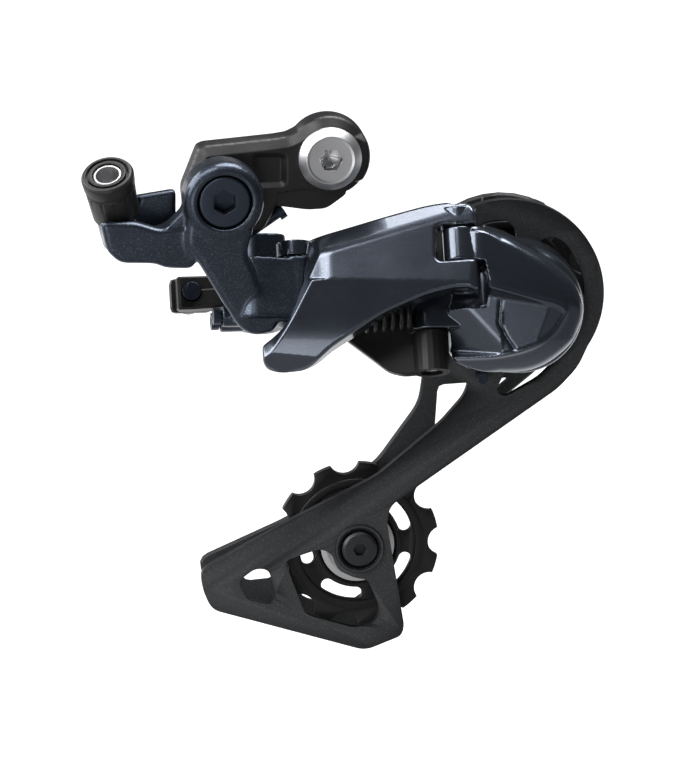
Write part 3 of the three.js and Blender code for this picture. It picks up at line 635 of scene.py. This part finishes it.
def b_axle():
    front, back = y_range("b_axle")
    profile = [
        (0, front), (6.3, front, 0.2), (6.8, front + 0.5, 0.3), (6.8, front + 3.4, 0.1),
        (5, front + 3.4, 0.1), (5, back - 0.6, 0.1), (4.4, back, 0.1), (0, back),
    ]
    bolt = lathe("b_axle_turned", rounded(profile, 0, 4), (B.x, 0, B.z))
    boolean(bolt, prism("socket", hexagon(5.6, 30, (B.x, B.z)), -front - 4.6, -front + 3, FRONT))
    return shown(bevelled(resharpened(bolt, 30), 0.1, 2, 30), "b_axle", DARK_STEEL)


bracket_link()
hanger_bolt()
b_axle()


# ------------------------------------------------------------------ upper knuckle

BORE_R = 2.2


def upper_knuckle():
    """The casting, with webs that carry the cable branch into the boss and the arm into the pin lobes."""
    body = copied("upper_knuckle_casting", "upper_knuckle")
    flow = [(-52, -17.5), (-43, -15.4), (-38.6, -11), (-36.6, -5), (-33, -8), (-31, -24), (-44, -24.6)]
    rear_post = hull([(-16.6, 18.4, 4.6), (-13.0, 18.0, 3.4)])
    neck = hull([(-9.0, 5.9, 4.2), (-20.0, 2.5, 4.0), (-20.0, 7.5, 3.0)])
    webs = (
        prism("flow", rounded(flow, 2), 10.2, 16.8, FRONT),
        prism("rear_post", rear_post, -30.2, -17.5, PIN_FRAME),
        prism("neck", neck, -43.5, -27.6, PIN_FRAME),
    )
    for web in webs:
        boolean(body, web, "UNION")
    boolean(body, cylinder("axle_room", 7.1, -22, -9, (B.x, 0, B.z)))
    for pin in (PIN_A, PIN_B):
        boolean(body, cylinder("bore", BORE_R, -60, 0, pin, PIN_AXIS))
    return shown(softened(body, 0.33, 16), "upper_knuckle", SATIN_BLUE)


upper_knuckle()


# ------------------------------------------------------------------ outer link

# The link's outline and places are (s, w) or (s, w, h) in the link's own frame.
LINK_OUTLINE = rounded(
    [
        (-9.6, -49.4, 1.0), (-9.4, -55.0, 1.6), (-5.6, -56.6, 2.0), (0.8, -56.4, 3), (4.4, -54.9, 2),
        (8.4, -51.8, 2), (22.1, -44.2, 3), (33.8, -39.9, 4), (40.7, -38.7, 2), (44.5, -38.8, 1.5),
        (47.2, -39.8, 1.0), (47.2, -31.6, 0.5), (37.7, -31.6, 1.2), (36.7, -30.6, 1.0), (37.0, -22.6, 1.0),
        (38.3, -21.9, 0.8), (47.4, -21.9, 0.5), (47.4, -18.2, 2.0), (45.6, -16.0, 2.0), (42.0, -15.3, 3.0),
        (35.2, -15.6, 4), (23.6, -18.1, 5), (14, -20.5, 5), (5.5, -22.5, 3), (-2.6, -24.4, 0.8),
        (0.4, -26.9, 1.5), (2.7, -33.8, 1.5), (1.2, -37.1, 1.5), (-3.0, -45.4, 2), (-6.0, -47.6, 2),
    ],
    1.5,
)
APEX = (4.4, -34.2, 7.8)
CREST_END = (38.5, -37.0, 6.2)
FOOT = (-4.5, -51.8, 7.0)
TOP_CORNER = (38.9, -19.6, 4.9)
BAND = ((11.0, -26.4), TOP_CORNER[:2])
SOLE = ((-10, -50.8), (6, -52.2))
LINK_END_R = 6.3
LINK_BACK = -1.2
LOBE_R = 4.7
FOOT_LOBE_R = 4.2


def link_end(p):
    """The height of the rounded end at the lower knuckle; it limits nothing well before that."""
    past = np.maximum(p[:, 0] - LINK_LENGTH, 0)
    return np.sqrt(np.maximum(LINK_END_R**2 - past**2, 0.5)) + np.maximum(LINK_LENGTH - 3 - p[:, 0], 0)


def link_height(p, d):
    """Facets: upper and lower panels that meet in the crest, a left facet, a top band and the foot's sole."""
    above = along_line(p, APEX[:2], CREST_END[:2])
    below = np.maximum(-above, 0)
    upper = plane(p, APEX, CREST_END, TOP_CORNER)
    upper = upper - 0.03 * np.maximum(10.5 - np.maximum(p[:, 0], 2), 0) ** 2 + 2 * below
    crest = plane(p, APEX, CREST_END, (*FOOT[:2], APEX[2]))
    lower = crest - 0.12 * below - 0.012 * np.maximum(below - 8, 0) ** 2
    lower = np.where(above > 0, crest + 9, lower)
    left = plane(p, (*APEX[:2], 7.2), (*FOOT[:2], 6.4), (0.8, -34.2, 4.0))
    top_band = upper - 0.55 * along_line(p, *BAND) - 0.1
    past_sole = np.minimum(along_line(p, *SOLE), 0)
    sole = 5.4 + 0.9 * past_sole - 0.06 * past_sole**2
    surface = soft_min(upper, lower, 0.4)
    surface = soft_min(surface, left, 0.35)
    surface = soft_min(surface, np.maximum(top_band, -0.5), 0.7)
    on_sole = (past_sole < 0) & (p[:, 0] < 10)
    surface = np.where(on_sole, np.minimum(surface, np.maximum(sole, -0.5)), surface)
    return np.maximum(np.minimum(surface, link_end(p)) - rim(d, 0.55), -0.9)


def link_back(p):
    return np.maximum(LINK_BACK, -link_end(p))


def outer_link():
    creases = [(APEX[:2], CREST_END[:2]), (APEX[:2], FOOT[:2]), BAND]
    body = relief(
        "outer_link_casting", LINK_OUTLINE, [], link_height, link_back, 0.42, LINK_FRAME, 50, creases,
        inset=0.5, fine=0.3,
    )
    hollow = [(8.5, -46.4), (21, -40.8), (33.5, -36.4), (35, -36.4), (35, -19.6), (8.5, -24.4)]
    boolean(body, prism("hollow", rounded(hollow, 1.5), -5, 2.2, LINK_FRAME))
    lobes = (
        (FOOT_LOBE_R, -51.8, -45.3, PIN_A), (LOBE_R, -26.7, -22.8, PIN_A),
        (LOBE_R, -38.6, -31.5, PIN_C), (LOBE_R, -22, -17.2, PIN_C),
    )
    for radius, low, high, pin in lobes:
        boolean(body, cylinder("lobe", radius, low, high, pin, PIN_AXIS), "UNION")
    boolean(body, cylinder("room", 5.2, -45.3, -26.7, PIN_A, PIN_AXIS))
    for pin, bottom in ((PIN_A, -51.0), (PIN_C, -60)):
        boolean(body, cylinder("bore", 3.0, bottom, 0, pin, PIN_AXIS))
    return shown(softened(body, 0.2, 4), "outer_link")


outer_link()


# ------------------------------------------------------------------ lower knuckle

KNUCKLE_OUTLINE = rounded(
    [
        (35.2, -17.9, 1), (38.5, -18.0, 3), (45.0, -20.1, 6), (55.4, -26.2, 6), (62.8, -32.8, 5),
        (65.6, -40.0, 5), (61.8, -48.9, 5), (55.8, -54.2, 4), (51.0, -56.4, 4), (43.2, -56.8, 5),
        (35.6, -55.2, 4), (30.8, -52.4, 1.5), (28.9, -46.3, 1.2), (28.2, -44.6, 2), (30.6, -36.9, 2),
        (32.2, -33.2, 1), (36.9, -31.6, 0.8), (36.9, -25.6, 0.5), (35.2, -24.6, 0.5),
    ],
    1.5,
)
RIDGE = ((37.4, -31.0), (57.6, -37.3))
SCOOP = rounded(
    [
        (22, -26.2, 0.1), (57.6, -37.3, 2.0), (60.2, -39.4, 1.6), (56.8, -45.4, 4), (50.2, -49.0, 6),
        (42.9, -50.8, 6), (22, -52.0, 0.1),
    ],
    2,
)
SEAM = ((43.0, -36.4), (42.5, -42.2), (44.3, -45.9), (46.6, -49.4))
KNUCKLE_BACK = 9.0
BARREL_R = 16.9
SPRING_ROOM_R = 12.6


def knuckle_height(p, d):
    """A crowned face with a scoop under its ridge; the scoop's floor has three panels and a seam."""
    front = -y_range("lower_knuckle")[0]
    x, z = p[:, 0], p[:, 1]
    above = np.maximum(along_line(p, *RIDGE), 0)
    face = front - 0.2 - 0.006 * (x - 42) ** 2 - 0.3 * above - 0.004 * above**2
    face = face - 0.15 * np.where(z > -26, np.maximum(38.5 - x, 0), 0) ** 2
    lower_rim = front - 1.0 - 0.35 * np.maximum(-47 - z, 0) ** 1.25 - 0.01 * (x - 46) ** 2
    face = soft_min(face, lower_rim, 1.5)
    right = plane(p, (43.0, -36.6, front - 3.9), (57.8, -38.9, front - 1.6), (46.6, -48.9, front - 2.1))
    left = plane(p, (31.3, -35.4, front - 5.6), (43.0, -36.6, front - 3.7), (42.0, -46.9, front - 2.6))
    dark = plane(p, (31.3, -35.4, front - 5.6), (42.0, -46.9, front - 2.6), (29.5, -50.0, front - 10.0))
    right_of_seam = along_line(p, (43.2, -36.4), (43.2, -49.4)) > 0
    floor = np.where(right_of_seam, right, soft_min(left, dark, 0.6))
    to_seam = np.min([segment_distance(p, a, b) for a, b in zip(SEAM, SEAM[1:])], 0)
    floor = floor - 0.6 * np.clip(1.4 - to_seam / 0.35, 0, 1)
    overhang = front - 0.8 - 1.1 * np.maximum(-along_line(p, *RIDGE), 0)
    into_scoop = to_loop(p, SCOOP)
    blend = np.where(inside(p, SCOOP), np.clip(into_scoop / 0.9, 0, 1), 0)
    blend = blend * blend * (3 - 2 * blend)
    scooped = face + (np.minimum(np.maximum(overhang, floor), face) - face) * blend
    lip = 0.4 * np.exp(-((into_scoop / 0.6) ** 2))
    edge = np.where(x < 39, 0.5, np.clip(0.5 + (x - 39) * 0.4, 0.5, 2.2))
    return np.maximum(scooped + lip - rim(d, edge), KNUCKLE_BACK + 0.6)


def lower_knuckle():
    body = relief("lower_knuckle_casting", KNUCKLE_OUTLINE, [], knuckle_height, KNUCKLE_BACK, 0.3, FRONT, 60)
    barrel = [(0, -12, 0), (BARREL_R - 0.7, -12, 1.2), (BARREL_R, -9), (BARREL_R, 1.6), (0, 1.6, 0)]
    boolean(body, lathe("barrel", rounded(barrel, 0.5), (P.x, 0, P.z), segments=120), "UNION")
    turned = PIN_FRAME.inverted()
    pin_c, pin_d = turned @ PIN_C, turned @ PIN_D
    rooms = (
        (pin_c, 7.0, -42, -31.5), (pin_c, 7.0, -22, -12),
        (pin_d, 5.3, -60, -46.5), (pin_d, 5.3, -35.7, -28),
    )
    for centre, radius, low, high in rooms:
        boolean(body, prism("room", arc(centre.x, centre.y, radius, 0, 354, 59), low, high, PIN_FRAME))
    tongue_c = hull([(pin_c.x, pin_c.y, 4.5), (36.2, -2.6, 3.2), (35.5, 2, 4)])
    tongue_d = hull([(pin_d.x, pin_d.y, 5.15), (35, 9.5, 4), (39, 9.5, 4)])
    for outline, low, high in ((tongue_c, -31.2, -22.3), (tongue_d, -46.2, -36)):
        tongue = prism("tongue", outline, low, high, PIN_FRAME)
        baked(bevelled(tongue, 0.5, 3))
        boolean(body, tongue, "UNION")
    boolean(body, cylinder("spring_room", SPRING_ROOM_R, -10, 4, (P.x, 0, P.z)))
    for centre in (pin_c, pin_d):
        boolean(body, prism("bore", arc(centre.x, centre.y, BORE_R, 0, 340, 17), -60, 0, PIN_FRAME))
    return shown(softened(body, 0.22, 5), ["lower_knuckle", "p_axle_cap"])


lower_knuckle()


# ------------------------------------------------------------------ cage

CAGE_CENTRE = (P.x - 1.6, P.z + 1)
CAGE_R = 25.3
CAGE_SLOTS = ((98, 140), (-28, 42), (172, 228))  # degrees round the cage's upper end
CAGE_EDGE = 0.7
BOSS_R = 6.4
BOSS_HEIGHT = 0.6


def slot(centre, inner, outer, start, end):
    """A slot along an arc, with round ends."""
    x, z = centre
    middle, radius = (inner + outer) / 2, (outer - inner) / 2
    ends = []
    for t, turn in ((end, 0), (start, 180)):
        cx, cz = x + middle * math.cos(math.radians(t)), z + middle * math.sin(math.radians(t))
        ends.append(arc(cx, cz, radius, t + turn, t + turn + 180, 12)[1:-1])
    return arc(x, z, outer, start, end, 24) + ends[0] + arc(x, z, inner, end, start, 24) + ends[1]


def cage():
    """The stamped outer plate with chamfered edges, and the boss that the tension pulley's bolt sits in."""
    front, back = y_range("cage_outer_plate")
    arm = [
        (-32.2, -110.6), (-10, -98.6), (13.5, -87), (30.3, -73.2), (36.6, -66), (38.4, -58), (52, -52),
        (69.6, -51.6), (66, -59.4), (60.8, -65), (24.6, -89.8), (17.2, -95), (16.2, -99), (20.8, -127),
        (20, -129.6), (10.6, -133.2), (-29.4, -121.2), (-31.6, -116),
    ]
    small_window = [(-22.6, -114), (-18, -110.6), (-14.6, -111), (-12.2, -118), (-13.6, -120.4), (-20, -119)]
    large_window = [
        (-10.4, -108.8), (-1, -105.8), (2, -107.4), (3.4, -111.6), (8, -113.9), (11.4, -114.4),
        (14.4, -122), (13.6, -125.6), (8, -127.2), (-5, -123.2),
    ]
    upper_window = [
        (48, -58.6), (44.4, -65.2), (47, -67), (55.6, -62.2), (61.6, -56.4), (64.6, -50.4), (59, -52),
    ]
    windows = [
        rounded(small_window, 1.6),
        rounded(large_window, 1.8),
        rounded(upper_window, 1.6),
        *[slot(CAGE_CENTRE, 10.8, 20.2, *ends) for ends in CAGE_SLOTS],
        arc(P.x, P.z, 3.5, 0, 354, 59),
    ]
    face = -front - BOSS_HEIGHT
    outer = prism("cage_outer_stamping", arc(*CAGE_CENTRE, CAGE_R, 0, 357, 119), -back, face, FRONT)
    boolean(outer, prism("arm", rounded(arm, 2.4), -back, face, FRONT), "UNION")
    for window in windows:
        boolean(outer, prism("window", window, -back - 3, face + 3, FRONT))
    baked(bevelled(outer, CAGE_EDGE, 2, 50))
    tension = (TENSION.x, 0, TENSION.z)
    boss = eased([(0, front), (BOSS_R, front), (BOSS_R, back), (0, back)], 0.3)
    boolean(outer, lathe("boss", boss, tension, segments=96), "UNION")
    seat = [(0, 0), (4.9, 0), (4.9, 4.3), (2.7, 4.3), (2.7, 8), (0, 8)]
    boolean(outer, lathe("seat", seat, tension))
    shown(resharpened(outer, 30), "cage_outer_plate")


cage()


# ------------------------------------------------------------------ pulleys

TOOTH_COUNT = 11
PITCH_R = 12.7 / 2 / math.sin(math.pi / TOOTH_COUNT)
ROLLER_SEAT_R = 3.95


TOOTH_HALF_THICKNESS = 1.15
HUB_R = 11.2
HUB_HALF_WIDTH = 3


def toothed(tip_radius, tip_half_width, phase):
    """Outline of a pulley: roller seats on the pitch circle, with narrow tips between them."""
    outline = []
    step = 360 / TOOTH_COUNT
    tip = math.degrees(tip_half_width / tip_radius)
    for i in range(TOOTH_COUNT):
        seat = i * step + phase
        x, z = PITCH_R * math.cos(math.radians(seat)), PITCH_R * math.sin(math.radians(seat))
        outline += arc(x, z, ROLLER_SEAT_R, seat - 112, seat - 248, 16)
        outline += arc(0, 0, tip_radius, seat + step / 2 - tip, seat + step / 2 + tip, 4)
    return outline


def pulley(name, centre, tip_radius, tip_half_width, phase):
    place = (centre.x, sum(y_range(name + "_pulley")) / 2, centre.z)
    shift = Matrix.Translation(place) @ FRONT
    teeth = toothed(tip_radius, tip_half_width, phase)
    body = prism(name + "_pulley_moulding", teeth, -TOOTH_HALF_THICKNESS, TOOTH_HALF_THICKNESS, shift)
    for k in range(5):
        boolean(body, prism("slot", slot((0, 0), 11.6, 14.9, k * 72 + 19, k * 72 + 53), -3, 3, shift))
    baked(bevelled(body, 0.25, 3, 40))
    hub = [(0, -HUB_HALF_WIDTH), (HUB_R, -HUB_HALF_WIDTH), (HUB_R, HUB_HALF_WIDTH), (0, HUB_HALF_WIDTH)]
    boolean(body, lathe("hub", eased(hub, 0.5), place, segments=96), "UNION")
    ring = rounded([(15.2, -1.7), (17.2, -1.7), (17.2, 1.7), (15.2, 1.7)], 0.3, 3)
    boolean(body, lathe("ring", ring, place, segments=96), "UNION")
    for low, high, radius in ((-4, -1.7, 9.9), (1.7, 4, 9.9), (-4, 4, 8.1)):
        boolean(body, cylinder("seat", radius, low, high, place, segments=96))
    shown(resharpened(body, 35), name + "_pulley", BLACK_RESIN)
    for side, near, far, lift in (("outer", -4.1, -3.0, 0.9), ("inner", 4.1, 3.0, -0.9)):
        cap = [
            (4.6, near), (7.2, near + lift * 0.2), (8.2, far), (9.6, far), (9.6, far + lift),
            (4.6, near + lift),
        ]
        cap = lathe(f"{name}_{side}_dust_cap_turned", rounded(cap, 0.15, 2), place, segments=96)
        shown(cap, f"{name}_{side}_dust_cap", CAP_STEEL)


pulley("guide", GUIDE, 24.0, 1.5, 16.4)
pulley("tension", TENSION, 21.4, 1.9, 0)


def tension_bolt():
    profile = [
        (0, 1.6), (3.9, 1.6, 0.1), (4.6, 2.3, 0.2), (4.6, 4.0, 0.1), (2.4, 4.0), (2.4, 16.8, 0.2), (0, 16.8),
    ]
    bolt = lathe("tension_pulley_bolt_turned", rounded(profile, 0, 4), (TENSION.x, 0, TENSION.z))
    boolean(bolt, prism("socket", hexagon(3, 0, (TENSION.x, TENSION.z)), -3.6, 0, FRONT))
    shown(bevelled(resharpened(bolt, 30), 0.08, 2, 30), "tension_pulley_bolt", BOLT_BLACK)


tension_bolt()


# ------------------------------------------------------------------ springs and cable adjuster


COIL_STEPS = 40  # to a turn
WIRE_SIDES = 12


def coil(name, radius, wire, turns, length, matrix, dead=0.75):
    """A coil spring along the matrix's third axis, its end coils closed."""
    steps, sides = int(turns * COIL_STEPS), WIRE_SIDES
    vertices, faces = [], []
    for i in range(steps + 1):
        t = i / steps
        turn = t * turns
        free = np.clip((turn - dead) / (turns - 2 * dead), 0, 1)
        lift = wire * (min(turn, dead) + max(turn - turns + dead, 0)) + free * (length - 2 * dead * wire)
        angle = turn * 2 * math.pi
        out = Vector((math.cos(angle), math.sin(angle), 0))
        for k in range(sides):
            around = 2 * math.pi * k / sides
            ring = out * (radius + wire / 2 * math.cos(around))
            vertices.append(ring + Vector((0, 0, lift + wire / 2 * math.sin(around))))
    for i in range(steps):
        for k in range(sides):
            a, b = i * sides + k, i * sides + (k + 1) % sides
            faces.append((a, b, b + sides, a + sides))
    faces += [tuple(reversed(range(sides))), tuple(range(steps * sides, (steps + 1) * sides))]
    return made(name, vertices, faces, matrix)


def return_spring():
    """The spring between the links, its axis along the outer link."""
    spring_frame = Matrix((PIN_AXIS, -LINK_H, LINK_S)).transposed().to_4x4()
    spring_frame.translation = LINK_FRAME @ Vector((12.5, -42.6, -4))
    return shown(coil("return_spring_coils", 3.7, 1.5, 8.0, 16.6, spring_frame), "return_spring")


return_spring()

ADJUSTER_LENGTH = 14.5
RIB_COUNT = 12


def adjuster():
    """The ribbed barrel with its open mouth, and the threaded stem whose end shows in it as a light ring."""
    axis = joint_axis("adjuster_turn")
    base = joint_point("adjuster_turn")
    top = ADJUSTER_LENGTH
    profile = [
        (2.8, 0, 0), (5.6, 0, 0.3), (6.0, 0.8, 0.2), (6.5, 9.6, 0.1), (6.3, 9.9, 0.1), (6.3, 10.6, 0.1),
        (6.7, 10.9, 0.1), (6.9, top - 0.9, 0.3), (6.3, top, 0.3), (5.6, top, 0.1), (5.6, top - 1.2, 0.1),
        (4.9, top - 1.2, 0.1), (4.9, top, 0.2), (3.9, top, 0.3), (3.9, 4, 0), (2.8, 4, 0),
    ]
    barrel = lathe("adjuster_barrel_moulding", rounded(profile, 0.2, 3), base, axis, segments=96)
    turn = Vector((0, 0, 1)).rotation_difference(axis).to_matrix().to_4x4()
    turn.translation = base
    for k in range(RIB_COUNT):
        angle = math.radians(360 / RIB_COUNT * k)
        groove = arc(6.95 * math.cos(angle), 6.95 * math.sin(angle), 0.75, 0, 340, 17)
        boolean(barrel, prism("groove", groove, 1.2, 9.4, turn))
    shown(resharpened(barrel, 30), "cable_adjuster_barrel", BLACK_RESIN)
    stem_profile = [
        (1.2, -8, 0), (2.5, -8, 0.3), (2.5, 3.5, 0), (3.6, 3.5, 0), (3.6, top - 0.4, 0.15),
        (3.1, top - 0.4, 0.15), (3.0, 5, 0), (1.2, 5, 0),
    ]
    stem = lathe("adjuster_stem_turned", rounded(stem_profile, 0.2, 3), base, axis, segments=64)
    shown(stem, "cable_adjuster_stem", BRIGHT_STEEL)


adjuster()


# ------------------------------------------------------------------ stage, light and camera

# The photo has almost no perspective, so the camera is far away with a long lens.
CAMERA_AZIMUTH, CAMERA_ELEVATION = -7, 13  # degrees
CAMERA_DISTANCE = 6.0  # metres
CAMERA_TARGET = Vector((3.68, -3.0, -60.5)) * MM
LENS = 1095.5
FLOOR_Z = -0.19
FLOOR_REACH = 8


def camera():
    data = bpy.data.cameras.new("camera")
    data.lens = LENS
    data.clip_end = 20
    eye = placed(bpy.data.objects.new("camera", data))
    a, e = math.radians(CAMERA_AZIMUTH), math.radians(CAMERA_ELEVATION)
    back = Vector((math.sin(a) * math.cos(e), -math.cos(a) * math.cos(e), math.sin(e)))
    eye.location = CAMERA_TARGET + back * CAMERA_DISTANCE
    eye.rotation_euler = (-back).to_track_quat("-Z", "Y").to_euler()
    bpy.context.scene.camera = eye


def softbox(name, place, size, radiance, target=(0, 0, -0.05)):
    """A rectangular lamp of a given width and height in metres, aimed at a target."""
    data = bpy.data.lights.new(name, "AREA")
    data.shape = "RECTANGLE"
    data.size, data.size_y = size
    data.energy = radiance * math.pi * size[0] * size[1]
    lamp = placed(bpy.data.objects.new(name, data))
    lamp.location = place
    lamp.rotation_euler = (Vector(target) - Vector(place)).to_track_quat("-Z", "Y").to_euler()


def floor_finish():
    """Pale floor that glows white behind the part, so that the backdrop is clean and the front stays soft."""
    material, principled = shader("floor_pale", (0.16, 0.16, 0.16), 0.9)
    tree = material.node_tree
    split = tree.nodes.new("ShaderNodeSeparateXYZ")
    tree.links.new(tree.nodes.new("ShaderNodeTexCoord").outputs["Object"], split.inputs["Vector"])
    fade = tree.nodes.new("ShaderNodeMapRange")
    fade.interpolation_type = "SMOOTHSTEP"
    fade.inputs["From Min"].default_value = -0.06
    fade.inputs["From Max"].default_value = 0.06
    fade.inputs["To Max"].default_value = 1.0
    tree.links.new(split.outputs["Y"], fade.inputs["Value"])
    tree.links.new(fade.outputs["Result"], principled.inputs["Emission Strength"])
    principled.inputs["Emission Color"].default_value = (1, 1, 1, 1)
    return material


def stage():
    mesh = bpy.data.meshes.new("floor")
    corners = [(x * FLOOR_REACH, y * FLOOR_REACH, FLOOR_Z) for x, y in ((-1, -1), (1, -1), (1, 1), (-1, 1))]
    mesh.from_pydata(corners, [], [(0, 1, 2, 3)])
    floor = placed(bpy.data.objects.new("floor", mesh))
    mesh.materials.append(floor_finish())
    world = bpy.data.worlds.new("studio")
    world.use_nodes = True
    world.node_tree.nodes["Background"].inputs["Color"].default_value = (0.9, 0.95, 1, 1)
    world.node_tree.nodes["Background"].inputs["Strength"].default_value = 0.1
    bpy.context.scene.world = world
    softbox("top", (0.27, 0.12, 1.0), (0.9, 0.8), 13.0)
    softbox("left", (-1.1, 0.1, 0.5), (2.0, 0.8), 8.0)
    softbox("high_front", (-0.19, -0.19, 0.31), (0.24, 0.14), 11.0, (0, 0, -0.03))
    softbox("low_front", (-0.22, -0.5, -0.08), (0.34, 0.16), 3.5, (0, 0, -0.06))


camera()
stage()
bpy.context.scene.view_settings.view_transform = "Standard"
